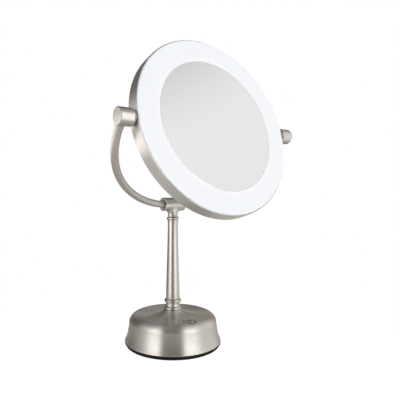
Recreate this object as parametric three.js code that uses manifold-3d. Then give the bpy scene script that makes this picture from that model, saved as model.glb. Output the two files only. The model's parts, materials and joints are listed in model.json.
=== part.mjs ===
// Lighted vanity mirror on a pedestal: a round, lit, two-sided head hangs between the ends of a half-ring
// yoke, and the yoke leans in a T-shaped collar on top of a tapered stem and a weighted bell base.
// Millimetres, +Z up, the front is -Y. The origin is the centre of the foot's underside. The pieces are
// drawn with their heights counted from FOOT_DROP above that, and the whole group is lifted by it.
import * as THREE from "three";
import { mergeVertices } from "three/addons/utils/BufferGeometryUtils.js";
import Module from "manifold-3d";

const wasm = await Module();
wasm.setup();

// ---- driving dimensions ----
const GAP = 0.3; // clearance between neighbouring pieces
const HEAD_R = 121.0; // outside radius of the head's rim
const FACE_W = 9.9; // pivot axis to the front diffuser's face
const RIM_FRONT = 8.3; // pivot axis to the rim's front edge
const REAR_W = 8.9; // pivot axis to the rim's rear edge
const MIRROR_R = 89.4;
const YOKE_HALF_WIDTH = 136.4; // pivot centre to the arm's centreline, sideways
const PIVOT_HEIGHT = 138.5; // collar axis to pivot axis, with the yoke upright
const COLLAR_Z = 209.1; // height of the collar's axis
const FOOT_DROP = 1.6; // how far the rubber foot goes below the level that heights are counted from
const YOKE_LEAN = 43.4; // degrees forward from upright, as stored
const HEAD_UP = 16.4; // degrees that the front mirror looks up, as stored
const BASE_R = 72.6; // radius of the rubber foot
const BASE_TOP = 43.8; // height of the base's flat top
const BASE_TURN = -6; // degrees that the base is turned on the stem
const BUTTON_RADIUS_OUT = 48.5; // button centre to the base's axis
const BUTTON_R = 8.6;

const ROUND = 36; // facets on the large round pieces
const MEDIUM = 20; // facets on the stem's, collar's and barrels' pieces
const SMALL = 12; // facets on the small round pieces
const RAD = Math.PI / 180;

// ---- materials ----
const finish = (color, roughness, metalness) =>
  new THREE.MeshStandardMaterial({ color, roughness, metalness });
const NICKEL = finish(0xb8b0a4, 0.32, 1);
const STEEL = finish(0x8f8f8f, 0.45, 1);
const IRON = finish(0x3c3c3e, 0.8, 0.6);
const RUBBER = finish(0x14130f, 0.85, 0);
const BLACK_PLASTIC = finish(0x1c1c1e, 0.6, 0);
const WHITE_PLASTIC = finish(0xe9e9e6, 0.6, 0);
const DIFFUSER = finish(0xf4f8fb, 0.5, 0);
const MIRROR = finish(0xd8dadc, 0.04, 1);
const BOARD = finish(0x1d5a37, 0.6, 0);
const LED_WHITE = finish(0xf2efdc, 0.5, 0);
const CELL = finish(0x2f6fb0, 0.4, 0);
const LEAD = finish(0x202022, 0.6, 0);

// ---- helpers ----

// Merges a geometry's vertices and turns its faces outwards.
function closed(geometry) {
  const bare = geometry.clone();
  bare.deleteAttribute("normal");
  bare.deleteAttribute("uv");
  const merged = mergeVertices(bare, 1e-4);
  const index = [...merged.index.array];
  const kept = [];
  for (let i = 0; i < index.length; i += 3) {
    const [a, b, c] = index.slice(i, i + 3);
    if (a !== b && b !== c && a !== c) kept.push(a, b, c);
  }
  merged.setIndex(signedVolume(merged, kept) < 0 ? kept.reverse() : kept);
  return merged;
}

function signedVolume(geometry, index) {
  const corners = [0, 1, 2].map(() => new THREE.Vector3());
  let volume = 0;
  for (let i = 0; i < index.length; i += 3) {
    corners.forEach((corner, k) => corner.fromBufferAttribute(geometry.attributes.position, index[i + k]));
    volume += corners[0].dot(corners[1].cross(corners[2])) / 6;
  }
  return volume;
}

function toSolid(geometry) {
  const mesh = closed(geometry);
  const vertProperties = new Float32Array(mesh.attributes.position.array);
  const triVerts = new Uint32Array(mesh.index.array);
  return new wasm.Manifold(new wasm.Mesh({ numProp: 3, vertProperties, triVerts }));
}

function toGeometry(solid) {
  const mesh = solid.getMesh();
  const geometry = new THREE.BufferGeometry();
  geometry.setAttribute("position", new THREE.BufferAttribute(new Float32Array(mesh.vertProperties), 3));
  geometry.setIndex([...mesh.triVerts]);
  return geometry;
}

function cut(geometry, ...tools) {
  return toGeometry(tools.reduce((left, tool) => left.subtract(toSolid(tool)), toSolid(geometry)));
}

function join(...geometries) {
  return toGeometry(geometries.map(toSolid).reduce((all, next) => all.add(next)));
}

// Points along an arc in the profile plane, from angle a to angle b in degrees.
function arc(centreR, centreH, radiusR, a, b, steps, radiusH = radiusR) {
  return Array.from({ length: steps + 1 }, (_, i) => {
    const angle = (a + ((b - a) * i) / steps) * RAD;
    return [centreR + radiusR * Math.cos(angle), centreH + radiusH * Math.sin(angle)];
  });
}

// Revolves an outline of [radius, height] points about the Y axis. The outline closes on itself
// unless both its ends are on the axis.
function revolve(outline, facets = ROUND) {
  const points = outline.map(([r, h]) => new THREE.Vector2(r, h));
  const onAxis = outline[0][0] === 0 && outline.at(-1)[0] === 0;
  if (!onAxis) points.push(points[0].clone());
  return closed(new THREE.LatheGeometry(points, facets));
}

const upright = (geometry) => geometry.rotateX(90 * RAD); // height along +Z
const sideways = (geometry) => geometry.rotateZ(-90 * RAD); // height along +X
const ring = (inner, outer, low, high) => [
  [inner, low],
  [outer, low],
  [outer, high],
  [inner, high],
];
const disc = (radius, low, high) => [
  [0, low],
  [radius, low],
  [radius, high],
  [0, high],
];
const block = (x, y, z, sizeX, sizeY, sizeZ) => new THREE.BoxGeometry(sizeX, sizeY, sizeZ).translate(x, y, z);

// Sweeps a round section, hollow where bore is above 0, along a curve.
function sweep(curve, radius, bore, sides, steps) {
  const section = new THREE.Shape().absarc(0, 0, radius, 0, 2 * Math.PI);
  if (bore > 0) section.holes.push(new THREE.Path().absarc(0, 0, bore, 0, 2 * Math.PI, true));
  const options = { steps, extrudePath: curve, bevelEnabled: false, curveSegments: sides / 2 };
  return closed(new THREE.ExtrudeGeometry(section, options));
}

const throughPoints = (points) =>
  new THREE.CatmullRomCurve3(points.map(([x, y, z]) => new THREE.Vector3(x, y, z)));

function place(group, name, geometry, material) {
  const mesh = new THREE.Mesh(geometry, material);
  mesh.name = name;
  group.add(mesh);
  return mesh;
}

// ---- base ----
const SHEET = 1.6; // thickness of the spun base shell
const SHELL_LOW = 4.3;
const SHOULDER_R = 11.8;
const SHOULDER_IN = 54.3; // radius where the flat top turns into the shoulder
const CONE_TOP = 50.6;
const JACK_Z = 25;
const PLATE_LOW = 4.7;
const PLATE_HIGH = 6.2;
const BALLAST_HIGH = 18.5;
const ROD_R = 4.2;

function rubberFoot() {
  const outline = [
    [0, -FOOT_DROP],
    [BASE_R - 2.6, -FOOT_DROP],
    [BASE_R - 1.3, 0.2],
    [BASE_R, 2],
    [BASE_R, 3.4],
    [BASE_R - 0.5, 4],
    [BASE_R - 2.8, 4],
    [BASE_R - 2.8, 2.2],
    [0, 2.2],
  ];
  return upright(revolve(outline));
}

// The shell's outer side wall flares out to a lip; its top rises in a small cone to the ferrule.
function baseShell() {
  const shoulder = arc(SHOULDER_IN, BASE_TOP - SHOULDER_R, SHOULDER_R, -4, 90, 4);
  const outside = [
    [72.3, SHELL_LOW],
    [71.3, 7.4],
    [69.9, 11],
    [68.6, 15],
    ...shoulder,
    [32, BASE_TOP],
    [22, BASE_TOP + 1.3],
    [16.5, BASE_TOP + 3.7],
    [13.2, CONE_TOP],
  ];
  const innerShoulder = arc(SHOULDER_IN, BASE_TOP - SHOULDER_R, SHOULDER_R - SHEET, 90, -4, 2);
  const inside = [
    [ROD_R + GAP, CONE_TOP],
    [ROD_R + GAP, CONE_TOP - SHEET],
    [12.2, CONE_TOP - SHEET],
    [16, BASE_TOP + 1.7],
    [32, BASE_TOP - SHEET],
    ...innerShoulder,
    [68.6 - SHEET, 14.8],
    [72.3 - SHEET, SHELL_LOW],
  ];
  const buttonHole = upright(revolve(disc(BUTTON_R + 1.3, 36, 60), SMALL));
  buttonHole.translate(0, -BUTTON_RADIUS_OUT, 0);
  const jackHole = revolve(disc(3.6, 50, 80), SMALL).translate(0, 0, JACK_Z);
  return cut(upright(revolve([...outside, ...inside])), buttonHole, jackHole);
}

const SCREW_RADIUS_OUT = 54;
const screwPlace = (i) => [
  SCREW_RADIUS_OUT * Math.cos((45 + 90 * i) * RAD),
  SCREW_RADIUS_OUT * Math.sin((45 + 90 * i) * RAD),
];
const screwHoles = (low, high) =>
  [0, 1, 2, 3].map((i) => upright(revolve(disc(2.4, low, high), 12)).translate(...screwPlace(i), 0));

function basePlate() {
  return cut(upright(revolve(disc(69.4, PLATE_LOW, PLATE_HIGH))), ...screwHoles(0, 10));
}

function ballastWeight() {
  const low = PLATE_HIGH + GAP;
  const outline = [
    [ROD_R + 0.8, BALLAST_HIGH],
    [ROD_R + 0.8, 12.6],
    [13, 12.6],
    [13, low],
    [62.5, low],
    [63, low + 0.8],
    [63, BALLAST_HIGH - 1],
    [62, BALLAST_HIGH],
  ];
  return cut(upright(revolve(outline, ROUND)), ...screwHoles(0, 16));
}

function baseScrew() {
  const outline = [
    [0, 2.6],
    [3.4, 2.6],
    [3.8, 3.2],
    [3.8, 4.4],
    [2.0, 4.4],
    [2.0, 15.2],
    [0, 15.6],
  ];
  return upright(revolve(outline, 12));
}

const CELL_R = 9.1;
const CELL_HALF_LENGTH = 32.5;
const CELL_Y = [20.4, 39.6];
const CELL_Z = 29.9;

function batteryHolder() {
  const low = BALLAST_HIGH + GAP;
  const tray = block(0, 30, low + 6, 70, 40.5, 12);
  const pockets = CELL_Y.map((y) => {
    const half = CELL_HALF_LENGTH + 0.4;
    return sideways(revolve(disc(CELL_R + GAP, -half, half), SMALL)).translate(0, y, CELL_Z);
  });
  return cut(tray, ...pockets);
}

function batteryCell(y) {
  const outline = [
    [0, -CELL_HALF_LENGTH],
    [CELL_R, -CELL_HALF_LENGTH],
    [CELL_R, CELL_HALF_LENGTH - 2],
    [3, CELL_HALF_LENGTH - 1.6],
    [3, CELL_HALF_LENGTH],
    [0, CELL_HALF_LENGTH],
  ];
  return sideways(revolve(outline, SMALL)).translate(0, y, CELL_Z);
}

const BOARD_LOW = 21.6;

// The control board stands on four posts and carries its larger parts on top.
function controlBoard() {
  const sheet = block(0, -26, BOARD_LOW + 0.8, 60, 24, 1.6);
  const postLow = BALLAST_HIGH + GAP;
  const postHigh = BOARD_LOW + 0.2;
  const post = (x, y) => block(x, y, (postLow + postHigh) / 2, 4, 4, postHigh - postLow);
  const posts = [-26, 26].flatMap((x) => [-35, -17].map((y) => post(x, y)));
  const parts = [
    block(-18, -26, BOARD_LOW + 3, 9, 9, 3.2),
    block(12, -30, BOARD_LOW + 2.4, 6, 5, 2),
    block(20, -20, BOARD_LOW + 4.4, 8, 8, 6),
  ];
  return join(sheet, ...posts, ...parts);
}

// A square switch body on its own small post behind the button.
function switchBody() {
  const low = BALLAST_HIGH + GAP;
  const post = block(0, -BUTTON_RADIUS_OUT, (low + 30) / 2, 9, 9, 30 - low);
  const well = block(0, -BUTTON_RADIUS_OUT, 28.5, 5.6, 5.6, 6);
  return cut(post, well);
}

function chargeJack() {
  const body = block(0, 57.4, JACK_Z, 9, 10.8, 10);
  const nose = revolve(disc(3.2, 61, 66.6), SMALL).translate(0, 0, JACK_Z);
  const bore = revolve(disc(2.2, 54, 70), SMALL).translate(0, 0, JACK_Z);
  return cut(join(body, nose), bore);
}

const BEZEL_FLANGE_HIGH = 39.7;

// A dark plastic ring lines the hole and guides the button.
function buttonBezel() {
  const outline = [
    [BUTTON_R + GAP, 37.5],
    [BUTTON_R + 2.6, 37.5],
    [BUTTON_R + 2.6, BEZEL_FLANGE_HIGH],
    [BUTTON_R + 1, BEZEL_FLANGE_HIGH],
    [BUTTON_R + 1, BASE_TOP + 0.2],
    [BUTTON_R + GAP, BASE_TOP + 0.2],
  ];
  return upright(revolve(outline, SMALL)).translate(0, -BUTTON_RADIUS_OUT, 0);
}

const BUTTON_LOW = 38.6;

function powerButton() {
  const outline = [
    [0, BUTTON_LOW],
    [BUTTON_R, BUTTON_LOW],
    [BUTTON_R, BASE_TOP + 0.2],
    [BUTTON_R - 0.6, BASE_TOP + 0.7],
    [0, BASE_TOP + 0.7],
  ];
  return upright(revolve(outline, SMALL)).translate(0, -BUTTON_RADIUS_OUT, 0);
}

function switchPlunger() {
  return upright(revolve(disc(2.2, 28, BUTTON_LOW - GAP), 12)).translate(0, -BUTTON_RADIUS_OUT, 0);
}

// ---- stem ----
const STEM_LOW = 66.4;
const STEM_HIGH = 182.4;
const STEM_WALL = 1.3;
const BEAD_LOW = 61.2;

function ferrule() {
  const outline = [
    [ROD_R + GAP, CONE_TOP + GAP],
    [12.4, CONE_TOP + GAP],
    [13.2, 51.8],
    [13.2, 53.6],
    [12.2, 54.9],
    [10.6, 55.8],
    [10.4, BEAD_LOW - GAP],
    [ROD_R + GAP, BEAD_LOW - GAP],
  ];
  return upright(revolve(outline, MEDIUM));
}

function lowerBeadRing() {
  const top = STEM_LOW - GAP;
  const outline = [
    [ROD_R + GAP, BEAD_LOW],
    [10.9, BEAD_LOW],
    ...arc(10.8, 63.7, 2.3, -60, 60, 3),
    [10.6, top],
    [ROD_R + GAP, top],
  ];
  return upright(revolve(outline, MEDIUM));
}

// The stem narrows from foot to top with a slight concave line.
function stemTube() {
  const outside = [
    [10.6, STEM_LOW],
    [10.3, 78],
    [9.6, 97],
    [8.6, 133],
    [7.7, 169],
    [7.35, STEM_HIGH],
  ];
  const inside = outside.toReversed().map(([r, z]) => [r - STEM_WALL, z]);
  return upright(revolve([...outside, ...inside], MEDIUM));
}

function upperBeadRing() {
  const low = STEM_HIGH + GAP;
  const outline = [
    [ROD_R + GAP, low],
    [7.8, low],
    [7.8, 185.4],
    ...arc(7.0, 187.9, 2.2, -60, 60, 2),
    [7.2, 190.3],
    [ROD_R + GAP, 190.3],
  ];
  return upright(revolve(outline, MEDIUM));
}

// The tie rod is a hollow threaded tube, with a side slot low down where the lead enters it.
function tieRod() {
  const tube = upright(revolve(ring(2.4, ROD_R, 6.9, 199.5), SMALL));
  return cut(tube, block(0, -4, 27, 4.4, 8, 12));
}

function rodNut() {
  const hexagon = new THREE.CylinderGeometry(8, 8, 3.6, 6).rotateX(90 * RAD).translate(0, 0, 9);
  return cut(hexagon, upright(revolve(disc(ROD_R + GAP, 0, 20), SMALL)));
}

const rodWasher = () => upright(revolve(ring(ROD_R + GAP, 10.5, 11.1, 12.3), SMALL));

const LEAD_R = 1.3;

function stemLead() {
  const route = [
    [0, -13.6, 25.4],
    [0, -8, 25.6],
    [0, -3.4, 27],
    [0, -0.7, 31],
    [0, 0, 37],
    [0, 0, 90],
    [0, 0, 145],
    [0, 0, 199],
  ];
  return sweep(throughPoints(route), LEAD_R, 0, 6, 18);
}

// ---- collar ----
const COLLAR_R = 9.9;
const COLLAR_HALF = 17.9;
const COLLAR_JOINT = 10.4; // where the collar's body meets its end caps
const AXLE_R = 4.9;
const AXLE_BORE = 3.2;
const AXLE_HALF = 13.8;

// The T collar: a level barrel with a neck that narrows down to the stem.
function collar() {
  const barrel = sideways(revolve(disc(COLLAR_R, -COLLAR_JOINT, COLLAR_JOINT), MEDIUM));
  const neckOutline = [
    [0, 190.6],
    [7.5, 190.6],
    [7.2, 193.4],
    [7.4, 196.4],
    [8.2, 199],
    [9.5, 201.4],
    [9.5, 207],
    [0, 207],
  ];
  const neck = upright(revolve(neckOutline, MEDIUM)).translate(0, 0, -COLLAR_Z);
  const axleBore = sideways(revolve(disc(AXLE_R + 0.35, -30, 30), SMALL));
  const rodBore = upright(revolve(disc(ROD_R + GAP, -30, 0), SMALL));
  const screwBore = revolve(disc(2.6, 0, 30), 12);
  return cut(join(barrel, neck), axleBore, rodBore, screwBore).translate(0, 0, COLLAR_Z);
}

function collarCap() {
  const start = COLLAR_JOINT + GAP;
  const outline = [
    [7.2, start],
    [COLLAR_R, start],
    [COLLAR_R, COLLAR_HALF - 0.6],
    [COLLAR_R - 0.6, COLLAR_HALF],
    [7.2, COLLAR_HALF],
  ];
  return sideways(revolve(outline, MEDIUM)).translate(0, 0, COLLAR_Z);
}

const frictionShoe = () => revolve(disc(2.3, AXLE_R + GAP, 6.9), 12).translate(0, 0, COLLAR_Z);

function frictionScrew() {
  const screw = revolve(disc(2.3, 7.2, COLLAR_R + 0.1), 12);
  const socket = new THREE.CylinderGeometry(1.2, 1.2, 4, 6).translate(0, COLLAR_R, 0);
  return cut(screw, socket).translate(0, 0, COLLAR_Z);
}

// ---- yoke: drawn upright about the collar's axis, with the pivot axis PIVOT_HEIGHT above it ----
const ARM_R = 5;
const ARM_BORE = 3.4;
const ARM_DEPTH = PIVOT_HEIGHT + 0.95; // pivot centre down to the half ring's lowest point
const ARM_START = 14.8; // sideways distance where an arm meets the axle
const ARM_END_DROP = 9.0; // pivot axis down to the arm's upper end
const ARM_BULGE = 2.0; // how far the half ring bulges past an ellipse between its top and bottom
const ARM_TUCK = 1.8; // how far its upper ends are drawn in
const BARREL_R = 10.6;
const BARREL_IN = 123.8;
const BARREL_OUT = 140.6;
const CAVITY_R = 8;
const CAVITY_IN = 130.4;
const TRUNNION_R = 4;

// The left arm's half of the half ring, from the axle up to the barrel.
class ArmCurve extends THREE.Curve {
  getPoint(t, target = new THREE.Vector3()) {
    const start = Math.acos(ARM_START / YOKE_HALF_WIDTH);
    const end = Math.asin(ARM_END_DROP / ARM_DEPTH);
    const angle = start + (end - start) * t;
    const proud = ARM_BULGE * Math.sin(2 * angle) - ARM_TUCK * Math.cos(angle) ** 8;
    const x = -(YOKE_HALF_WIDTH + proud) * Math.cos(angle);
    return target.set(x, 0, PIVOT_HEIGHT - (ARM_DEPTH + proud) * Math.sin(angle));
  }
}

const mirrored = (geometry) => closed(geometry.clone().scale(-1, 1, 1));
const armLeft = () => sweep(new ArmCurve(), ARM_R, ARM_BORE, 12, 18);

function yokeAxle() {
  const tube = sideways(revolve(ring(AXLE_BORE, AXLE_R, -AXLE_HALF, AXLE_HALF), SMALL));
  return cut(tube, block(0, 0, -4, 6, 12, 4));
}

// The lead runs inside the axle and the left arm and ends in the left barrel's cavity.
function armLead() {
  const arm = new ArmCurve();
  const along = [0.04, 0.15, 0.3, 0.45, 0.6, 0.75, 0.9, 0.99].map((t) => arm.getPoint(t));
  const points = [new THREE.Vector3(-1, 0, 0), new THREE.Vector3(-10, 0, 0), ...along];
  points.push(new THREE.Vector3(-136.8, 0, PIVOT_HEIGHT - 3));
  return sweep(new THREE.CatmullRomCurve3(points), LEAD_R, 0, 6, 22);
}

// The right barrel: bored for the trunnion, with a cavity for its nut and a socket for the arm.
function barrelRight() {
  const outline = [
    [TRUNNION_R + 0.35, BARREL_IN],
    [BARREL_R, BARREL_IN],
    [BARREL_R, BARREL_OUT],
    [CAVITY_R, BARREL_OUT],
    [CAVITY_R, CAVITY_IN],
    [TRUNNION_R + 0.35, CAVITY_IN],
  ];
  const armTop = -new ArmCurve().getPoint(1).x;
  const socket = upright(revolve(disc(ARM_R + 2 * GAP, -20, -7), SMALL)).translate(armTop, 0, 0);
  return cut(sideways(revolve(outline, MEDIUM)), socket).translate(0, 0, PIVOT_HEIGHT);
}

// A slightly crowned end plate with a rounded edge. It closes the cavity beside the arm's end.
function capRight() {
  const start = BARREL_OUT + GAP;
  const outline = [
    [0, start],
    [BARREL_R, start],
    ...arc(BARREL_R - 0.8, start + 0.1, 0.8, 0, 90, 2),
    [5, start + 1.3],
    [0, start + 1.45],
  ];
  return sideways(revolve(outline, MEDIUM)).translate(0, 0, PIVOT_HEIGHT);
}

function tiltWasherRight() {
  const washer = ring(TRUNNION_R + 0.35, 9.7, HEAD_R + 0.5, BARREL_IN - GAP);
  return sideways(revolve(washer, MEDIUM)).translate(0, 0, PIVOT_HEIGHT);
}

function waveWasherRight() {
  const washer = ring(TRUNNION_R + 0.35, 7, CAVITY_IN + GAP, CAVITY_IN + 1.1);
  return sideways(revolve(washer, SMALL)).translate(0, 0, PIVOT_HEIGHT);
}

// ---- head: drawn upright about the pivot's centre, the front mirror facing -Y ----
const RIM_WALL = 1.1;
const DIFFUSER_R = 119.6;
const TRUNNION_FLANGE_R = 6.5;
const TRUNNION_IN = 115.6; // inner face of the trunnion's flange
const NOTCH_IN = 104; // how far in the carrier is notched for the trunnions and the lead

const facing = (outline) => revolve(outline.map(([r, w]) => [r, -w])); // w is the way the front mirror faces
const trunnionCut = (radius) =>
  [-1, 1].map((side) => sideways(revolve(disc(radius, 100, 140), SMALL)).rotateY(side > 0 ? 0 : Math.PI));

function rimBand() {
  const inner = HEAD_R - RIM_WALL;
  const outline = [
    [inner, -REAR_W],
    [HEAD_R - 0.8, -REAR_W],
    [HEAD_R, -REAR_W + 0.8],
    [HEAD_R, RIM_FRONT - 0.6],
    [HEAD_R - 0.6, RIM_FRONT],
    [inner, RIM_FRONT],
  ];
  return cut(facing(outline), ...trunnionCut(TRUNNION_R + 0.35));
}

// An opal ring with a rounded outer edge and a skirt down inside the rim. side is 1 in front, -1 behind.
function diffuser(side, face, edge) {
  const inner = MIRROR_R + 0.7;
  const outline = [
    [inner, face - 2.5],
    [inner, face],
    ...arc(DIFFUSER_R - edge, face - edge, edge, 90, 0, 2),
    [DIFFUSER_R, 4],
    [DIFFUSER_R - 1.6, 4],
    [DIFFUSER_R - 1.6, face - 3.2],
    [DIFFUSER_R - 3.2, face - 2.5],
  ];
  const notches = [-1, 1].map((end) => block(end * 118, 0, 0, 8, 13.6, 15));
  return cut(facing(outline.map(([r, w]) => [r, side * w])), ...notches);
}

function frontMirror() {
  const face = FACE_W - 0.3;
  const outline = [
    [0, face - 2.7],
    [MIRROR_R, face - 2.7],
    [MIRROR_R, face],
    [0, face],
  ];
  return facing(outline);
}

// The rear glass is dished, to magnify.
function rearMirror() {
  const rim = -(REAR_W - 0.5);
  const sag = 2.2;
  const bowl = (r) => rim + sag * (1 - (r / MIRROR_R) ** 2);
  const radii = [0, 45, MIRROR_R];
  const outer = radii.map((r) => [r, bowl(r)]);
  const inner = radii.toReversed().map((r) => [r, bowl(r) + 2.7]);
  return facing([...outer, ...inner]);
}

// The carrier is a plate across the head with a ring on each side that seats a glass.
function mirrorCarrier() {
  const edge = HEAD_R - RIM_WALL - GAP;
  const frontSeat = FACE_W - 0.3 - 2.7 - GAP;
  const rearSeat = -(REAR_W - 0.5 - 2.7 - GAP);
  const outline = [
    [0, -1],
    [84, -1],
    [84, rearSeat],
    [89, rearSeat],
    [89, -1],
    [edge, -1],
    [edge, 1],
    [89, 1],
    [89, frontSeat],
    [84, frontSeat],
    [84, 1],
    [0, 1],
  ];
  const notches = [-1, 1].map((end) => block((end * (NOTCH_IN + 124)) / 2, 0, 0, 124 - NOTCH_IN, 20, 15.5));
  return cut(facing(outline), ...notches);
}

// A ring-shaped circuit board with square LEDs standing off its outer face.
function ledBoard(side) {
  const low = side * (1 + GAP);
  const high = side * 2.3;
  const leds = Array.from({ length: 12 }, (_, i) => {
    const angle = ((i + 0.5) / 12) * 2 * Math.PI;
    return block(104, 0, 0, 3, 3, 1).rotateX(90 * RAD).translate(0, -side * 2.7, 0).rotateY(angle);
  });
  return join(facing(ring(91.5, 114.5, low, high)), ...leds);
}

// Hollow pivot: a flange inside the rim, a shank out through the washer and the barrel.
function trunnionRight() {
  const outline = [
    [2.2, TRUNNION_IN],
    [TRUNNION_FLANGE_R, TRUNNION_IN],
    [TRUNNION_FLANGE_R, TRUNNION_IN + 2.8],
    [TRUNNION_R, TRUNNION_IN + 2.8],
    [TRUNNION_R, 134.6],
    [2.2, 134.6],
  ];
  return sideways(revolve(outline, SMALL));
}

function trunnionNutRight() {
  const hexagon = sideways(new THREE.CylinderGeometry(6.8, 6.8, 2.4, 6).translate(0, 133.1, 0));
  return cut(hexagon, sideways(revolve(disc(TRUNNION_R + GAP, 120, 140), SMALL)));
}

function headLead() {
  const route = [
    [-133.6, 0, 0],
    [-124, 0, 0],
    [-113, 0, 0],
    [-108.5, -0.1, 0],
    [-105.5, -0.1, 1.5],
  ];
  return sweep(throughPoints(route), 1, 0, 6, 6);
}

// ---- assembly ----
const lifted = new THREE.Group();
const mirror = new THREE.Group();
mirror.position.z = FOOT_DROP;
lifted.add(mirror);
const base = new THREE.Group();
base.rotation.z = BASE_TURN * RAD;
const yoke = new THREE.Group();
yoke.position.z = COLLAR_Z;
yoke.rotation.x = YOKE_LEAN * RAD;
const head = new THREE.Group();
head.position.z = PIVOT_HEIGHT;
head.rotation.x = -(YOKE_LEAN + HEAD_UP) * RAD;
mirror.add(base, yoke);
yoke.add(head);

place(base, "rubber_foot", rubberFoot(), RUBBER);
place(base, "base_plate", basePlate(), STEEL);
place(base, "base_shell", baseShell(), NICKEL);
place(base, "ballast_weight", ballastWeight(), IRON);
for (let i = 0; i < 4; i += 1) {
  place(base, `base_screw_${i + 1}`, baseScrew(), STEEL).position.set(...screwPlace(i), 0);
}
place(base, "battery_holder", batteryHolder(), BLACK_PLASTIC);
CELL_Y.forEach((y, i) => place(base, `battery_cell_${i + 1}`, batteryCell(y), CELL));
place(base, "control_board", controlBoard(), BOARD);
place(base, "switch_body", switchBody(), BLACK_PLASTIC);
place(base, "charge_jack", chargeJack(), BLACK_PLASTIC);
place(base, "button_bezel", buttonBezel(), BLACK_PLASTIC);
place(base, "power_button", powerButton(), NICKEL);
place(base, "switch_plunger", switchPlunger(), WHITE_PLASTIC);

place(mirror, "ferrule", ferrule(), NICKEL);
place(mirror, "lower_bead_ring", lowerBeadRing(), NICKEL);
place(mirror, "stem_tube", stemTube(), NICKEL);
place(mirror, "upper_bead_ring", upperBeadRing(), NICKEL);
place(mirror, "tie_rod", tieRod(), STEEL);
place(mirror, "rod_washer", rodWasher(), STEEL);
place(mirror, "rod_nut", rodNut(), STEEL);
place(mirror, "stem_lead", stemLead(), LEAD);
place(mirror, "collar", collar(), NICKEL);
place(mirror, "collar_cap_right", collarCap(), NICKEL);
place(mirror, "collar_cap_left", mirrored(collarCap()), NICKEL);
place(mirror, "friction_shoe", frictionShoe(), WHITE_PLASTIC);
place(mirror, "friction_screw", frictionScrew(), STEEL);

place(yoke, "yoke_axle", yokeAxle(), STEEL);
place(yoke, "arm_left", armLeft(), NICKEL);
place(yoke, "arm_right", mirrored(armLeft()), NICKEL);
place(yoke, "arm_lead", armLead(), LEAD);
const yokePairs = [
  ["barrel", barrelRight, NICKEL],
  ["barrel_cap", capRight, NICKEL],
  ["tilt_washer", tiltWasherRight, NICKEL],
  ["wave_washer", waveWasherRight, STEEL],
];
for (const [name, make, material] of yokePairs) {
  place(yoke, `${name}_right`, make(), material);
  place(yoke, `${name}_left`, mirrored(make()), material);
}

place(head, "rim_band", rimBand(), NICKEL);
place(head, "front_diffuser", diffuser(1, FACE_W, 1.6), DIFFUSER);
place(head, "rear_diffuser", diffuser(-1, REAR_W - 0.5, 3.2), DIFFUSER);
place(head, "front_mirror", frontMirror(), MIRROR);
place(head, "rear_mirror", rearMirror(), MIRROR);
place(head, "mirror_carrier", mirrorCarrier(), WHITE_PLASTIC);
place(head, "front_led_board", ledBoard(1), LED_WHITE);
place(head, "rear_led_board", ledBoard(-1), LED_WHITE);
place(head, "trunnion_right", trunnionRight(), STEEL);
place(head, "trunnion_left", mirrored(trunnionRight()), STEEL);
place(head, "trunnion_nut_right", trunnionNutRight(), STEEL);
place(head, "trunnion_nut_left", mirrored(trunnionNutRight()), STEEL);
place(head, "head_lead", headLead(), LEAD);

export default lifted;
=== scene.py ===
"""Lighted vanity mirror: the fine surfaces, materials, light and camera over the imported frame.

Lengths on the object are written in millimetres, as in the part's source, and turned into metres by MM. The
camera, floor and lamps are placed in metres. The outline of a turned piece is a list of (radius, height) or
(radius, height, ease): see eased() and lathe().
"""

import json
import math
import operator

import bmesh
import bpy
from mathutils import Matrix, Vector


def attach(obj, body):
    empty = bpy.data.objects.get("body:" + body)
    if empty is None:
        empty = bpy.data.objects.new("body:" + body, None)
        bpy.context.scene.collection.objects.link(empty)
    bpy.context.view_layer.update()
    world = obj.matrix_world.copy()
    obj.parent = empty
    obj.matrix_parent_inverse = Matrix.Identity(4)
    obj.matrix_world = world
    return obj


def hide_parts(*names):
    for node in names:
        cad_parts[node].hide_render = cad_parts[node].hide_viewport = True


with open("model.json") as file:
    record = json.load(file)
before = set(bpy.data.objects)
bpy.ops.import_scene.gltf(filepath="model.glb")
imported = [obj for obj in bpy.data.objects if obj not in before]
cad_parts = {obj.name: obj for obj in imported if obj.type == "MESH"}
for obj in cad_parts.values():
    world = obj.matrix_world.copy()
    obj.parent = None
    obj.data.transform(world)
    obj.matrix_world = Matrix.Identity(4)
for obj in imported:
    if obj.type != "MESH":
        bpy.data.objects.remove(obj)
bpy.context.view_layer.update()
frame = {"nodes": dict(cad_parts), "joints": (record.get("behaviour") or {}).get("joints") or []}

MM = 0.001
JOINTS = {joint["name"]: joint for joint in frame["joints"]}
COLLAR = Vector(JOINTS["yoke_lean"]["pos_m"])
PIVOT = Vector(JOINTS["head_tilt"]["pos_m"])

# ---- driving dimensions, in millimetres and degrees ----
FOOT_DROP = 1.6  # the base and stem count their heights from this far above the table
BASE_R = 72.6
BASE_TOP = 43.8
BASE_TURN = -6.0
HEAD_R = 121.0
HEAD_UP = 16.4
FACE_W = 9.9  # how far the front face stands before the pivot
REAR_W = 8.9  # how far the rim reaches behind it

# ---- local frames: each turned piece turns about its frame's Z ----
LEAN = math.atan2(COLLAR.y - PIVOT.y, PIVOT.z - COLLAR.z)
PIVOT_HEIGHT = (PIVOT - COLLAR).length / MM
STAND = Matrix.Translation((0, 0, FOOT_DROP * MM))
BASE = STAND @ Matrix.Rotation(math.radians(BASE_TURN), 4, "Z")
YOKE = Matrix.Translation(COLLAR) @ Matrix.Rotation(LEAN, 4, "X")
HEAD = Matrix.Translation(PIVOT) @ Matrix.Rotation(math.radians(-HEAD_UP), 4, "X")
FACE = HEAD @ Matrix.Rotation(math.radians(90), 4, "X")
ALONG_X = {1: Matrix.Rotation(math.radians(90), 4, "Y"), -1: Matrix.Rotation(math.radians(-90), 4, "Y")}
SIDES = {1: "right", -1: "left"}


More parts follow.
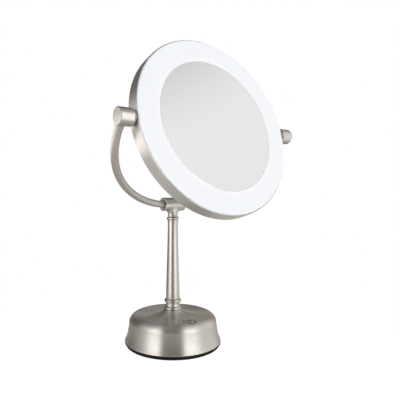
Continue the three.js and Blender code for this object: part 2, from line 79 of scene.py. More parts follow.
def shifted(x, y, z):
    return Matrix.Translation(Vector((x, y, z)) * MM)


# ---- camera: at half the mirror's height, 35 degrees round to the left of its front, and nearly level ----
CAMERA_AZIMUTH = math.radians(-34.97)
CAMERA_DISTANCE = 0.6154
CAMERA_HEIGHT = 0.2216
CAMERA_DIP = math.radians(2.37)


def make_camera():
    data = bpy.data.cameras.new("camera")
    data.sensor_width = 36
    data.lens = 36.8
    data.shift_x = 0.068
    data.shift_y = 0.0347
    camera = bpy.data.objects.new("camera", data)
    bpy.context.scene.collection.objects.link(camera)
    across = CAMERA_DISTANCE * math.sin(CAMERA_AZIMUTH)
    back = -CAMERA_DISTANCE * math.cos(CAMERA_AZIMUTH)
    camera.location = (across, back, CAMERA_HEIGHT)
    camera.rotation_euler = (math.pi / 2 - CAMERA_DIP, 0, CAMERA_AZIMUTH)
    bpy.context.scene.camera = camera


# ---- node helpers ----
NOISE_LOW, NOISE_HIGH = 0.3, 0.7  # nearly all of a noise's values lie between these


class Nodes:
    """A material's or world's node tree, with short calls to add and link nodes."""

    def __init__(self, tree):
        self.tree = tree
        self.tree.nodes.clear()

    def add(self, kind, **settings):
        node = self.tree.nodes.new(kind)
        for key, value in settings.items():
            setattr(node, key, value)
        return node

    def link(self, source, target):
        self.tree.links.new(source, target)

    def feed(self, socket, value):
        if isinstance(value, bpy.types.NodeSocket):
            self.link(value, socket)
        else:
            socket.default_value = value

    def place(self):
        """The point on the piece, in metres in the piece's own frame."""
        return self.add("ShaderNodeTexCoord").outputs["Object"]

    def split(self, vector):
        """The X, Y and Z of a vector."""
        node = self.add("ShaderNodeSeparateXYZ")
        self.link(vector, node.inputs[0])
        return node.outputs

    def math(self, operation, *values):
        node = self.add("ShaderNodeMath", operation=operation)
        for socket, value in zip(node.inputs, values):
            self.feed(socket, value)
        return node.outputs[0]

    def vector(self, operation, *values):
        node = self.add("ShaderNodeVectorMath", operation=operation)
        for socket, value in zip(node.inputs, values):
            self.feed(socket, value)
        return node.outputs["Value" if operation in ("DOT_PRODUCT", "LENGTH") else "Vector"]

    def scale_range(self, value, low, high, to_low, to_high, smooth=False):
        node = self.add("ShaderNodeMapRange")
        if smooth:
            node.interpolation_type = "SMOOTHSTEP"
        names = ("Value", "From Min", "From Max", "To Min", "To Max")
        for key, item in zip(names, (value, low, high, to_low, to_high)):
            self.feed(node.inputs[key], item)
        return node.outputs["Result"]

    def stretch(self, noise, to_low, to_high):
        """A noise stretched over the range given."""
        return self.scale_range(noise, NOISE_LOW, NOISE_HIGH, to_low, to_high)

    def noise(self, vector, scale, detail=2.0, w=None):
        node = self.add("ShaderNodeTexNoise", noise_dimensions="4D" if w is not None else "3D")
        self.link(vector, node.inputs["Vector"])
        if w is not None:
            self.link(w, node.inputs["W"])
        node.inputs["Scale"].default_value = scale
        node.inputs["Detail"].default_value = detail
        return node.outputs["Fac"]

    def mix_colour(self, factor, first, second):
        """A mix of two colours: a Mix node's inputs 6 and 7 and its output 2 are the colour ones."""
        node = self.add("ShaderNodeMix", data_type="RGBA")
        self.feed(node.inputs[0], factor)
        self.feed(node.inputs[6], first)
        self.feed(node.inputs[7], second)
        return node.outputs[2]

    def bump(self, height, strength, distance):
        node = self.add("ShaderNodeBump")
        node.inputs["Strength"].default_value = strength
        node.inputs["Distance"].default_value = distance
        self.link(height, node.inputs["Height"])
        return node.outputs["Normal"]


def principled(name):
    """A new material with a principled shader: (material, nodes, shader)."""
    material = bpy.data.materials.new(name)
    material.use_nodes = True
    nodes = Nodes(material.node_tree)
    shader = nodes.add("ShaderNodeBsdfPrincipled")
    output = nodes.add("ShaderNodeOutputMaterial")
    nodes.link(shader.outputs["BSDF"], output.inputs["Surface"])
    return material, nodes, shader


def rgb(red, green, blue):
    return (red, green, blue, 1.0)


WHITE = rgb(1, 1, 1)

# ---- materials: noise scales count per metre, and bumps are as deep as given in metres ----
FINE_LINE = 0.00035
BROAD_LINE = 0.0022
FINE_SHARE = 0.45
LINE_CHANGES = 3.0  # how often a brush line changes on its way round
NICKEL_LEVEL = 0.645
NICKEL_VARIATION = 0.035
SATIN_VARIATION = 0.03


def turned_lines(nodes, spacing):
    """Noise drawn out into lines round the local Z axis, about a spacing apart."""
    place = nodes.place()
    height = nodes.split(place)[2]
    flat = nodes.vector("MULTIPLY", place, (1, 1, 0))
    outwards = nodes.split(nodes.vector("NORMALIZE", flat))
    position = nodes.add("ShaderNodeCombineXYZ")
    nodes.link(nodes.math("MULTIPLY", nodes.vector("LENGTH", flat), 1 / spacing), position.inputs[0])
    nodes.link(nodes.math("MULTIPLY", height, 1 / spacing), position.inputs[1])
    nodes.link(nodes.math("MULTIPLY", outwards[0], LINE_CHANGES), position.inputs[2])
    return nodes.noise(position.outputs[0], 1.0, 3.0, w=nodes.math("MULTIPLY", outwards[1], LINE_CHANGES))


def brushed_nickel(name, roughness, bright, green, blue, grain, spread=0.0):
    """Satin nickel. A turned piece has brush lines round its own axis, which draw its highlights out by the
    spread given. A formed piece, with no spread, has a fine even grain instead."""
    material, nodes, shader = principled(name)
    place = nodes.place()
    if spread:
        fine = turned_lines(nodes, FINE_LINE)
        broad = turned_lines(nodes, BROAD_LINE)
    else:
        fine = nodes.noise(place, 2600, 3.0)
        broad = nodes.noise(place, 260)
    shares = (nodes.math("MULTIPLY", fine, FINE_SHARE), nodes.math("MULTIPLY", broad, 1 - FINE_SHARE))
    tone = nodes.math("ADD", *shares)
    # bright raises or lowers the whole level for the piece: painted light and shade, on top of the grain's
    # random tone
    levels = [bright * (NICKEL_LEVEL + step * NICKEL_VARIATION * grain) for step in (-1, 1)]
    dark, light = (rgb(level, level * green, level * blue) for level in levels)
    nodes.link(nodes.mix_colour(nodes.stretch(tone, 0.0, 1.0), dark, light), shader.inputs["Base Color"])
    smudge = nodes.stretch(nodes.noise(place, 34, 3.0), -SATIN_VARIATION, SATIN_VARIATION)
    satin = nodes.stretch(tone, roughness - SATIN_VARIATION, roughness + SATIN_VARIATION)
    nodes.link(nodes.math("ADD", satin, smudge), shader.inputs["Roughness"])
    nodes.link(nodes.bump(tone, 0.10 * grain, 0.00003), shader.inputs["Normal"])
    shader.inputs["Metallic"].default_value = 1.0
    if spread:
        tangent = nodes.add("ShaderNodeTangent", direction_type="RADIAL", axis="Z")
        nodes.link(tangent.outputs[0], shader.inputs["Tangent"])
        shader.inputs["Anisotropic"].default_value = spread
        shader.inputs["Anisotropic Rotation"].default_value = 0.25
    return material


def clouded(nodes, shader, scale, dark, light):
    """Colour that drifts between two tones in soft clouds."""
    cloud = nodes.stretch(nodes.noise(nodes.place(), scale, 3.0), 0, 1)
    nodes.link(nodes.mix_colour(cloud, dark, light), shader.inputs["Base Color"])


def grained(nodes, shader, grain, roughness, variation, strength, distance):
    """Roughness and bump that both follow the grain."""
    nodes.link(nodes.stretch(grain, roughness - variation, roughness + variation), shader.inputs["Roughness"])
    nodes.link(nodes.bump(grain, strength, distance), shader.inputs["Normal"])


def plain_metal(name, dark, light, roughness):
    material, nodes, shader = principled(name)
    clouded(nodes, shader, 60, dark, light)
    grained(nodes, shader, nodes.noise(nodes.place(), 900, 4.0), roughness, 0.08, 0.2, 0.0001)
    shader.inputs["Metallic"].default_value = 1.0
    return material


def moulded(name, dark, light, roughness, grain_scale=1400, bump=0.25, specular=0.5):
    """Plastic, rubber or a painted casting with a fine moulded grain."""
    material, nodes, shader = principled(name)
    clouded(nodes, shader, 45, dark, light)
    grained(nodes, shader, nodes.noise(nodes.place(), grain_scale, 3.0), roughness, 0.07, bump, 0.00012)
    shader.inputs["Specular IOR Level"].default_value = specular
    return material


GLOW_R = 0.0905
GLOW_FULL, GLOW_END = 0.001, 0.007
GLOW_GAIN = 0.008
OPAL_GLOW = (0.216, 0.231)


def lit_opal(name):
    """Frosted ring lit from behind: brightest and whitest beside the glass, a little bluer further out."""
    material, nodes, shader = principled(name)
    place = nodes.place()
    radius = nodes.vector("LENGTH", nodes.vector("MULTIPLY", place, (1, 1, 0)))
    away = nodes.math("ABSOLUTE", nodes.math("SUBTRACT", radius, GLOW_R))
    glow = nodes.scale_range(away, GLOW_FULL, GLOW_END, 1.0, 0.0, smooth=True)
    patch = nodes.stretch(nodes.noise(place, 22), *OPAL_GLOW)
    level = nodes.math("ADD", nodes.math("MULTIPLY", glow, GLOW_GAIN), patch)
    light = nodes.mix_colour(glow, rgb(0.78, 0.86, 1.0), rgb(0.86, 0.92, 1.0))
    nodes.link(light, shader.inputs["Emission Color"])
    nodes.link(level, shader.inputs["Emission Strength"])
    frost = nodes.noise(place, 1800, 3.0)
    opal = nodes.mix_colour(frost, rgb(0.80, 0.82, 0.83), rgb(0.86, 0.87, 0.88))
    nodes.link(opal, shader.inputs["Base Color"])
    grained(nodes, shader, frost, 0.45, 0.07, 0.12, 0.00005)
    return material


def silvered_glass(name):
    """Silvering a little hazy in places, with a faint speckle."""
    material, nodes, shader = principled(name)
    place = nodes.place()
    haze = nodes.noise(place, 30, 4.0)
    nodes.link(nodes.scale_range(haze, 0.35, 0.75, 0.015, 0.05), shader.inputs["Roughness"])
    speck = nodes.stretch(nodes.noise(place, 700), 0, 1)
    silver = nodes.mix_colour(speck, rgb(0.86, 0.868, 0.878), rgb(0.885, 0.893, 0.903))
    nodes.link(silver, shader.inputs["Base Color"])
    shader.inputs["Metallic"].default_value = 1.0
    return material


def circuit_green(name):
    material, nodes, shader = principled(name)
    place = nodes.place()
    tracks = nodes.add("ShaderNodeTexBrick")
    nodes.link(place, tracks.inputs["Vector"])
    tracks.inputs["Scale"].default_value = 260
    tracks.inputs["Color1"].default_value = rgb(0.02, 0.12, 0.05)
    tracks.inputs["Color2"].default_value = rgb(0.025, 0.15, 0.07)
    tracks.inputs["Mortar"].default_value = rgb(0.06, 0.26, 0.12)
    nodes.link(tracks.outputs["Color"], shader.inputs["Base Color"])
    nodes.link(nodes.stretch(nodes.noise(place, 400), 0.3, 0.42), shader.inputs["Roughness"])
    return material


# The bright levels are partly painted light and shade: one nickel plating, set lighter or darker piece by
# piece to show how lit each piece is. The base is painted lighter, and the formed arms, collar and knob caps
# darker.
NICKELS = {
    "nickel_rim": dict(roughness=0.41, bright=1.06, green=0.965, blue=0.91, grain=1.4, spread=0.50),
    "nickel_stem": dict(roughness=0.40, bright=0.96, green=0.955, blue=0.885, grain=0.6, spread=0.45),
    "nickel_knob": dict(roughness=0.31, bright=0.97, green=0.965, blue=0.90, grain=2.0, spread=0.60),
    "nickel_base": dict(roughness=0.40, bright=1.13, green=0.96, blue=0.90, grain=1.5, spread=0.90),
    "nickel_formed": dict(roughness=0.43, bright=0.93, green=0.95, blue=0.87, grain=1.0),
}
MATERIALS = {name: brushed_nickel(name, **looks) for name, looks in NICKELS.items()}
MATERIALS |= {
    "steel": plain_metal("zinc_steel", rgb(0.42, 0.42, 0.43), rgb(0.58, 0.58, 0.59), 0.42),
    "cast_iron": moulded("cast_iron", rgb(0.035, 0.035, 0.037), rgb(0.06, 0.06, 0.062), 0.75, 500, 0.6),
    "rubber": moulded(
        "black_rubber", rgb(0.010, 0.010, 0.009), rgb(0.018, 0.018, 0.016), 0.72, 900, 0.35, specular=0.15
    ),
    "black_plastic": moulded("black_plastic", rgb(0.018, 0.018, 0.020), rgb(0.028, 0.028, 0.030), 0.5),
    "white_plastic": moulded("white_plastic", rgb(0.80, 0.80, 0.78), rgb(0.86, 0.86, 0.84), 0.5),
    "opal_front": lit_opal("opal_front"),
    "opal_rear": lit_opal("opal_rear"),
    "mirror": silvered_glass("silvered_glass"),
    "circuit_board": circuit_green("circuit_green"),
    "battery_cell": moulded("cell_sleeve", rgb(0.02, 0.13, 0.33), rgb(0.03, 0.17, 0.40), 0.33, 300, 0.1),
    "lead": moulded("lead_sheath", rgb(0.012, 0.012, 0.013), rgb(0.02, 0.02, 0.021), 0.55),
    "mark": moulded("mark_grey", rgb(0.05, 0.048, 0.045), rgb(0.075, 0.07, 0.066), 0.5),
}


# ---- outlines ----
EASE_TAIL = 0.15  # how far past an eased corner its flats are pinned, as a share of the ease


def bezier(start, middle, end, steps):
    """Points on a quadratic curve, without its first point."""
    points = []
    for i in range(1, steps + 1):
        t = i / steps
        shares = ((1 - t) ** 2, 2 * t * (1 - t), t**2)
        points.append(tuple(sum(map(operator.mul, shares, trio)) for trio in zip(start, middle, end)))
    return points


def arc(centre, radius, start, end, steps, height=None):
    """Points along an arc of the outline plane, angles in degrees. With a height it is part of an ellipse."""
    rise = radius if height is None else height
    points = []
    for i in range(steps + 1):
        angle = math.radians(start + (end - start) * i / steps)
        points.append((centre[0] + radius * math.cos(angle), centre[1] + rise * math.sin(angle)))
    return points


def eased(corners, steps=5):
    """An outline from corners (radius, height) or (radius, height, ease): an eased corner becomes a small
    round, with a point on each side that keeps the flats flat in the shading."""
    outline = []
    for i, corner in enumerate(corners):
        here = Vector(corner[:2])
        ease = corner[2] if len(corner) == 3 else 0
        if ease == 0:
            outline.append(tuple(here))
            continue
        before = Vector(corners[i - 1][:2]) - here
        after = Vector(corners[(i + 1) % len(corners)][:2]) - here
        start = here + before.normalized() * min(ease, before.length * 0.45)
        end = here + after.normalized() * min(ease, after.length * 0.45)
        outline.append(tuple(start + before.normalized() * ease * EASE_TAIL))
        outline.append(tuple(start))
        outline.extend(bezier(tuple(start), tuple(here), tuple(end), steps))
        outline.append(tuple(end + after.normalized() * ease * EASE_TAIL))
    return outline


# ---- meshes ----
SHARP_ANGLE = math.radians(38)


def turned_vertex(bm, angle, radius, height):
    return bm.verts.new((radius * math.cos(angle) * MM, radius * math.sin(angle) * MM, height * MM))


def lathe_faces(outline, facets, bm):
    """Adds an outline of (radius, height) in millimetres, turned about Z, to a bmesh."""
    rings = []
    for radius, height in outline:
        if radius < 1e-6:
            rings.append([bm.verts.new((0, 0, height * MM))])
        else:
            rings.append([turned_vertex(bm, 2 * math.pi * k / facets, radius, height) for k in range(facets)])
    pairs = list(zip(rings, rings[1:]))
    if len(rings[0]) > 1 and len(rings[-1]) > 1:
        pairs.append((rings[-1], rings[0]))
    for low, high in pairs:
        for k in range(facets):
            n = (k + 1) % facets
            corners = [low[k % len(low)], low[n % len(low)], high[n % len(high)], high[k % len(high)]]
            unique = [v for i, v in enumerate(corners) if v not in corners[:i]]
            if len(unique) > 2:
                bm.faces.new(unique)


def bridge(bm, rings):
    """Adds quads from each ring of vertices to the next, and a face over each end."""
    for low, high in zip(rings, rings[1:]):
        for k in range(len(low)):
            n = (k + 1) % len(low)
            bm.faces.new([low[k], low[n], high[n], high[k]])
    bm.faces.new(rings[0])
    bm.faces.new(rings[-1])


def finish_mesh(name, bm):
    """Turns a bmesh into a smooth-shaded object with its sharp edges kept."""
    bmesh.ops.recalc_face_normals(bm, faces=bm.faces)
    for face in bm.faces:
        face.smooth = True
    for edge in bm.edges:
        edge.smooth = len(edge.link_faces) != 2 or edge.calc_face_angle(0) < SHARP_ANGLE
    mesh = bpy.data.meshes.new(name)
    bm.to_mesh(mesh)
    bm.free()
    piece = bpy.data.objects.new(name, mesh)
    bpy.context.scene.collection.objects.link(piece)
    return piece


def settle(piece, place, material, body, *nodes):
    """Places a piece, gives it its material and body, and hides the CAD nodes it stands for."""
    piece.matrix_world = place
    piece.data.materials.append(MATERIALS[material])
    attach(piece, body)
    for node in nodes:
        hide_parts(node)
    return piece


def lathe(name, outline, place, material, body, *nodes, facets=96):
    """A piece turned from an outline about the Z of the frame given."""
    bm = bmesh.new()
    lathe_faces(outline, facets, bm)
    return settle(finish_mesh(name, bm), place, material, body, *nodes)


def drill(piece, place, radius, low, high, facets=64):
    """Cuts a round hole through a piece, along the Z of the frame given."""
    bm = bmesh.new()
    lathe_faces([(0, low), (radius, low), (radius, high), (0, high)], facets, bm)
    cutter = finish_mesh("cutter", bm)
    cutter.matrix_world = place
    modifier = piece.modifiers.new("hole", "BOOLEAN")
    modifier.operation = "DIFFERENCE"
    modifier.solver = "EXACT"
    modifier.object = cutter
    apply_modifiers(piece)
    bpy.data.objects.remove(cutter)


def apply_modifiers(piece):
    bpy.context.view_layer.update()
    graph = bpy.context.evaluated_depsgraph_get()
    mesh = bpy.data.meshes.new_from_object(piece.evaluated_get(graph))
    piece.modifiers.clear()
    old = piece.data
    piece.data = mesh
    bpy.data.meshes.remove(old)


# ---- rubber foot ----
GROOVES = 6
GROOVE_IN = 12
GROOVE_STEP = 9.5
GROOVE_WIDTH = 2.4
GROOVE_SLOPE = 0.6
GROOVE_DEPTH = 0.7
TREAD_R = 66
FOOT_TOP = 2.2
FOOT_RIM_TOP = 4.0
FOOT_RIM_WIDTH = 2.8


def rubber_foot():
    """A non-slip disc, grooved below, whose raised rim shows as the dark line under the bell."""
    low = -FOOT_DROP
    deep = low + GROOVE_DEPTH
    outline = [(0, low)]
    for k in range(GROOVES):
        start = GROOVE_IN + GROOVE_STEP * k
        end = start + GROOVE_WIDTH
        outline += [(start, low), (start + GROOVE_SLOPE, deep), (end - GROOVE_SLOPE, deep), (end, low)]
    inner = BASE_R - FOOT_RIM_WIDTH
    rim = [(TREAD_R, low), (BASE_R - 2.4, low, 1.0), (BASE_R - 1.2, 0.4, 0.8), (BASE_R, FOOT_TOP, 0.5)]
    rim += [(BASE_R, FOOT_RIM_TOP - 0.05, 0.3), (inner, FOOT_RIM_TOP, 0.2), (inner, FOOT_TOP)]
    outline += eased(rim) + [(0, FOOT_TOP)]
    lathe("foot", outline, STAND, "rubber", "base", "rubber_foot", facets=160)


# ---- bell ----
BASE_SHEET = 1.6
LIP_R = 72.3
LIP_Z = 4.3
FLARE_PULL = (69.9, 10.0)  # the flare above the lip curves towards this point
WALL_FOOT = (68.55, 15.5)
WALL_LEAN = -8
SHOULDER_R = 11.8
SHOULDER_IN = 54.3
CONE_FOOT_R = 38
CONE_R = 13.1
CONE_TOP = 50.6
ROD_HOLE_R = 4.5
BUTTON_OUT = 48.5
BUTTON_R = 8.6
PORT_Z = 25.0
PORT_HOLE_R = 3.6
BUTTON_PLACE = BASE @ shifted(0, -BUTTON_OUT, 0)
PORT_PLACE = BASE @ shifted(0, 0, PORT_Z) @ Matrix.Rotation(math.radians(-90), 4, "X")


def shell_outline():
    """Up the outside of the bell, from its lip to the rod's hole in the cone, and back down the inside."""
    shoulder = (SHOULDER_IN, BASE_TOP - SHOULDER_R)
    cone_foot = (CONE_FOOT_R, BASE_TOP + 0.1)
    outside = [(LIP_R + 0.05, LIP_Z), (LIP_R + 0.1, LIP_Z + 0.6), (LIP_R - 0.05, LIP_Z + 1.1)]
    outside += bezier(outside[-1], FLARE_PULL, WALL_FOOT, 8)
    outside += arc(shoulder, SHOULDER_R, WALL_LEAN, 90, 16)
    outside += [(51, BASE_TOP + 0.02), (44, BASE_TOP + 0.05), cone_foot]
    outside += bezier(cone_foot, (20, BASE_TOP + 0.7), (CONE_R + 0.3, CONE_TOP - 0.3), 14)
    outside += [(CONE_R, CONE_TOP)]
    under_cone = CONE_TOP - BASE_SHEET
    inside = [(ROD_HOLE_R, CONE_TOP), (ROD_HOLE_R, under_cone), (12.2, under_cone)]
    inside += [(16, BASE_TOP + 1.0), (32, BASE_TOP - BASE_SHEET)]
    inside += arc(shoulder, SHOULDER_R - BASE_SHEET, 90, WALL_LEAN, 8)
    inside += [(WALL_FOOT[0] - BASE_SHEET, WALL_FOOT[1]), (LIP_R - BASE_SHEET, LIP_Z)]
    return outside + inside


def base_shell():
    shell = lathe("bell", shell_outline(), STAND, "nickel_base", "base", "base_shell", facets=192)
    drill(shell, BUTTON_PLACE, BUTTON_R + 1.25, 36, 60)
    drill(shell, PORT_PLACE, PORT_HOLE_R, 50, 80)


# ---- button ----
BEZEL_LOW = 37.5
BEZEL_FLANGE_TOP = 39.7
BEZEL_TOP = BASE_TOP + 0.15
BUTTON_LOW = 38.6
BUTTON_TOP = BASE_TOP + 0.7


def bezel():
    """The dark ring round the button, with a flange below that holds it under the bell."""
    inner, outer, flange = BUTTON_R + 0.25, BUTTON_R + 1.15, BUTTON_R + 2.6
    ring = [(inner, BEZEL_LOW), (flange, BEZEL_LOW), (flange, BEZEL_FLANGE_TOP), (outer, BEZEL_FLANGE_TOP)]
    ring += [(outer, BEZEL_TOP, 0.2), (inner, BEZEL_TOP, 0.2)]
    lathe("bezel", eased(ring), BUTTON_PLACE, "black_plastic", "base", "button_bezel")


def button():
    """The power button, a little dished, and the mark on it."""
    edge = [(BUTTON_R, BUTTON_LOW), (BUTTON_R, BUTTON_TOP, 0.7), (BUTTON_R - 2.2, BUTTON_TOP - 0.02)]
    cap = [(0, BUTTON_LOW)] + eased(edge)
    cap += [(BUTTON_R - 4.5, BUTTON_TOP - 0.12), (0, BUTTON_TOP - 0.18)]
    lathe("button", cap, BUTTON_PLACE, "nickel_stem", "power_button", "power_button")
    power_mark()


def power_mark(inner=2.1, outer=2.75, opening=math.radians(38), steps=40):
    """The generic power symbol: an open ring and a bar, laid on the button."""
    low, high = BUTTON_TOP - 0.14, BUTTON_TOP - 0.08
    ring = []
    for i in range(steps + 1):
        angle = math.pi / 2 + opening + (2 * math.pi - 2 * opening) * i / steps
        ring.append([(radius * math.cos(angle), radius * math.sin(angle)) for radius in (inner, outer)])
    bar = [[(-0.33, y), (0.33, y)] for y in (0.6, 3.2)]
    bm = bmesh.new()
    add_strip(bm, ring, low, high)
    add_strip(bm, bar, low, high)
    settle(finish_mesh("button_mark", bm), BUTTON_PLACE, "mark", "power_button")


def add_strip(bm, pairs, low, high):
    """A thin solid strip whose cross-lines are the pairs of points given."""
    levels = []
    for z in (low, high):
        levels.append([[bm.verts.new((x * MM, y * MM, z * MM)) for x, y in pair] for pair in pairs])
    under, over = levels
    for i in range(len(pairs) - 1):
        bm.faces.new([over[i][0], over[i][1], over[i + 1][1], over[i + 1][0]])
        bm.faces.new([under[i][0], under[i][1], under[i + 1][1], under[i + 1][0]])
        for k in (0, 1):
            bm.faces.new([under[i][k], under[i + 1][k], over[i + 1][k], over[i][k]])
    for i in (0, len(pairs) - 1):
        bm.faces.new([under[i][0], under[i][1], over[i][1], over[i][0]])


# ---- charge inlet ----
PORT_IN = 58
PORT_OUT = 68.1


def charge_port():
    """The inlet's round nose in the back of the base, with its bore and centre pin."""
    nose = [(2.4, PORT_IN), (3.3, PORT_IN), (3.3, PORT_OUT - 1.9), (5.0, PORT_OUT - 1.2, 0.2)]
    nose += [(4.6, PORT_OUT, 0.4), (2.7, PORT_OUT, 0.3), (2.4, PORT_OUT - 0.5)]
    lathe("port_nose", eased(nose), PORT_PLACE, "black_plastic", "base", facets=64)
    pin = [(0, PORT_IN), (0.8, PORT_IN), (0.8, PORT_OUT - 1.3, 0.4), (0, PORT_OUT - 1.0)]
    lathe("port_pin", eased(pin), PORT_PLACE, "steel", "base", facets=32)


# ---- stem: four turned pieces, a hair apart, all bored for the rod ----
STEM_BORE = 4.6
STEM_FOOT_R = 10.6
STEM_LOW, STEM_TOP = 66.35, 182.4


def stem_piece(name, node, low, top, side):
    outline = [(STEM_BORE, low)] + side + [(STEM_BORE, top)]
    lathe(name, eased(outline), STAND, "nickel_stem", "base", node)


def stem():
    ferrule = [(12.6, 50.9, 0.4), (13.3, 51.6, 0.5), (13.3, 53.4, 0.6), (12.3, 54.7, 0.5)]
    ferrule += [(11.0, 55.6, 0.6), (STEM_FOOT_R, 58, 0.5), (STEM_FOOT_R, 61.0)]
    stem_piece("stem_ferrule", "ferrule", 50.9, 61.0, ferrule)
    bead = [(10.9, 61.1, 0.2), (11.1, 61.6)]
    bead += arc((10.8, 63.7), 2.3, -66, 66, 12) + [(11.0, 65.9), (10.7, 66.25)]
    stem_piece("stem_lower_bead", "lower_bead_ring", 61.1, 66.25, bead)
    side = [(STEM_FOOT_R - 0.1, STEM_LOW, 0.3)] + stem_line(24) + [(7.3, STEM_TOP, 0.2)]
    stem_piece("stem", "stem_tube", STEM_LOW, STEM_TOP, side)
    bead = [(7.9, 182.5, 0.25), (8.0, 184.4, 0.25), (7.6, 185.2, 0.2)]
    bead += arc((7.0, 187.8), 2.2, -70, 70, 12) + [(7.5, 190.1, 0.15), (7.4, 190.4)]
    stem_piece("stem_upper_bead", "upper_bead_ring", 182.5, 190.4, bead)


def stem_line(steps):
    """The stem's side: it narrows upwards, faster near its foot."""
    low, high = STEM_LOW + 0.65, STEM_TOP - 0.5
    points = []
    for i in range(steps + 1):
        t = i / steps
        points.append((STEM_FOOT_R - 4.4 * t + 1.15 * t**2, low + (high - low) * t))
    return points


# ---- collar ----
COLLAR_R = 9.9
COLLAR_HALF = 17.9
COLLAR_JOINT = 10.4
COLLAR_BORE = 7.2
COLLAR_CORE = 5.3
SEAL_BORE = 5.7
SEAL_IN, SEAL_OUT = 15.6, 16.9
NECK_R = 7.25
NECK_FOOT = 190.6 + FOOT_DROP - COLLAR.z / MM  # counted from the collar's centre
SADDLE_ALONG = 14.2
SADDLE_ACROSS = 9.3


def collar():
    """The T collar: a turned barrel, with a neck whose saddle flares smoothly into it."""
    end = COLLAR_JOINT + 0.05
    barrel = [(COLLAR_CORE, -end), (COLLAR_R, -end, 0.04), (COLLAR_R, end, 0.04), (COLLAR_CORE, end)]
    bm = bmesh.new()
    lathe_faces(eased(barrel), 96, bm)
    bmesh.ops.rotate(bm, verts=bm.verts, matrix=ALONG_X[1].to_3x3(), cent=(0, 0, 0))
    saddle_faces(bm)
    settle(finish_mesh("collar_tee", bm), Matrix.Translation(COLLAR), "nickel_formed", "base", "collar")
    for side, word in SIDES.items():
        collar_end(Matrix.Translation(COLLAR) @ ALONG_X[side], word)


def collar_end(place, word):
    """The ring that ends the barrel, and the seal inside it that closes on the arm."""
    start = COLLAR_JOINT + 0.12
    ring = [(COLLAR_BORE, start), (COLLAR_R, start, 0.04), (COLLAR_R, COLLAR_HALF, 0.7)]
    ring += [(COLLAR_BORE, COLLAR_HALF, 0.4)]
    lathe(f"collar_end_{word}", eased(ring), place, "nickel_stem", "base", f"collar_cap_{word}")
    seal = [(SEAL_BORE, SEAL_IN), (COLLAR_BORE, SEAL_IN)]
    seal += [(COLLAR_BORE, SEAL_OUT), (SEAL_BORE, SEAL_OUT - 0.2, 0.2)]
    lathe(f"collar_seal_{word}", eased(seal), place, "nickel_formed", "base", facets=64)


def saddle_faces(bm, around=96, steps=18):
    """The neck below the barrel: at each angle a smooth line from its foot out to the barrel's skin."""
    angles = [2 * math.pi * k / around for k in range(around)]
    levels = [[(NECK_R + 0.5, NECK_FOOT)] * around, [(NECK_R + 0.45, NECK_FOOT + 0.5)] * around]
    levels += [[saddle_point(angle, i / steps) for angle in angles] for i in range(steps + 1)]
    rings = []
    for level in levels:
        rings.append([turned_vertex(bm, angle, *point) for angle, point in zip(angles, level)])
    bridge(bm, rings)


def saddle_point(angle, t):
    """A point (radius, height) of the saddle, from the neck (t = 0) to the barrel's skin (t = 1)."""
    across = math.sin(angle)
    reach = 1 / math.hypot(math.cos(angle) / SADDLE_ALONG, across / SADDLE_ACROSS)
    depth = math.sqrt((COLLAR_R - 0.05) ** 2 - (reach * across) ** 2)
    start = Vector((NECK_R, NECK_FOOT + 2.2))
    end = Vector((reach, -depth))
    slope = Vector((depth, reach * across**2)).normalized()
    pull = (end - start).length * 0.42
    handle_a = start + Vector((0, 1)) * pull
    handle_b = end - slope * pull
    u = 1 - t
    point = u**3 * start + 3 * u**2 * t * handle_a + 3 * u * t**2 * handle_b + t**3 * end
    return point.x, point.y


# ---- yoke arms ----
ARM_R = 5.0
ARM_HALF_WIDTH = 136.4
ARM_DEPTH = PIVOT_HEIGHT + 0.95
ARM_START = 14.8
ARM_END_DROP = 9.0
ARM_BULGE = 2.0
ARM_TUCK = 1.8
ARM_FLARE = 1.0
ARM_FLARE_LENGTH = 16


def arm_centre(side, angle):
    """The half ring's centreline: an ellipse that bulges at its shoulders and tucks in at its ends."""
    proud = ARM_BULGE * math.sin(2 * angle) - ARM_TUCK * math.cos(angle) ** 8
    across = side * (ARM_HALF_WIDTH + proud) * math.cos(angle)
    return Vector((across, 0, PIVOT_HEIGHT - (ARM_DEPTH + proud) * math.sin(angle)))


def arm_ring(bm, side, angle, rise, around=40, near=0.01):
    """One ring of the arm's tube, square to its centreline; it widens as the rise nears 1."""
    depth = Vector((0, 1, 0))
    centre = arm_centre(side, angle)
    along = (arm_centre(side, angle - near) - arm_centre(side, angle + near)).normalized()
    out = along.cross(depth)
    radius = ARM_R + ARM_FLARE * rise**2
    ring = []
    for k in range(around):
        turn = 2 * math.pi * k / around
        offset = (out * math.cos(turn) + depth * math.sin(turn)) * radius
        ring.append(bm.verts.new((centre + offset) * MM))
    return ring


def arm(side, steps=96):
    """One quarter of the half ring: a round tube from the collar up to the knob, where it flares."""
    start = math.acos(ARM_START / ARM_HALF_WIDTH)
    end = math.asin(ARM_END_DROP / ARM_DEPTH)
    bm = bmesh.new()
    rings = []
    for i in range(steps + 1):
        angle = start + (end - start) * i / steps
        rise = max(0.0, 1 - (angle - end) * ARM_HALF_WIDTH / ARM_FLARE_LENGTH)
        rings.append(arm_ring(bm, side, angle, rise))
    bridge(bm, rings)
    word = SIDES[side]
    settle(finish_mesh(f"yoke_arm_{word}", bm), YOKE, "nickel_formed", "yoke", f"arm_{word}")


# ---- knobs ----
BARREL_R = 10.6
BARREL_IN = 123.8
BARREL_OUT = 140.6
BARREL_BORE = 4.4
RECESS_R = 8
RECESS_IN = 130.4
CAP_ROUND = 1.1
WASHER_IN = HEAD_R + 0.45
WASHER_STEP = 122.3
WASHER_OUT = BARREL_IN - 0.35
WASHER_NECK_R = 6.2


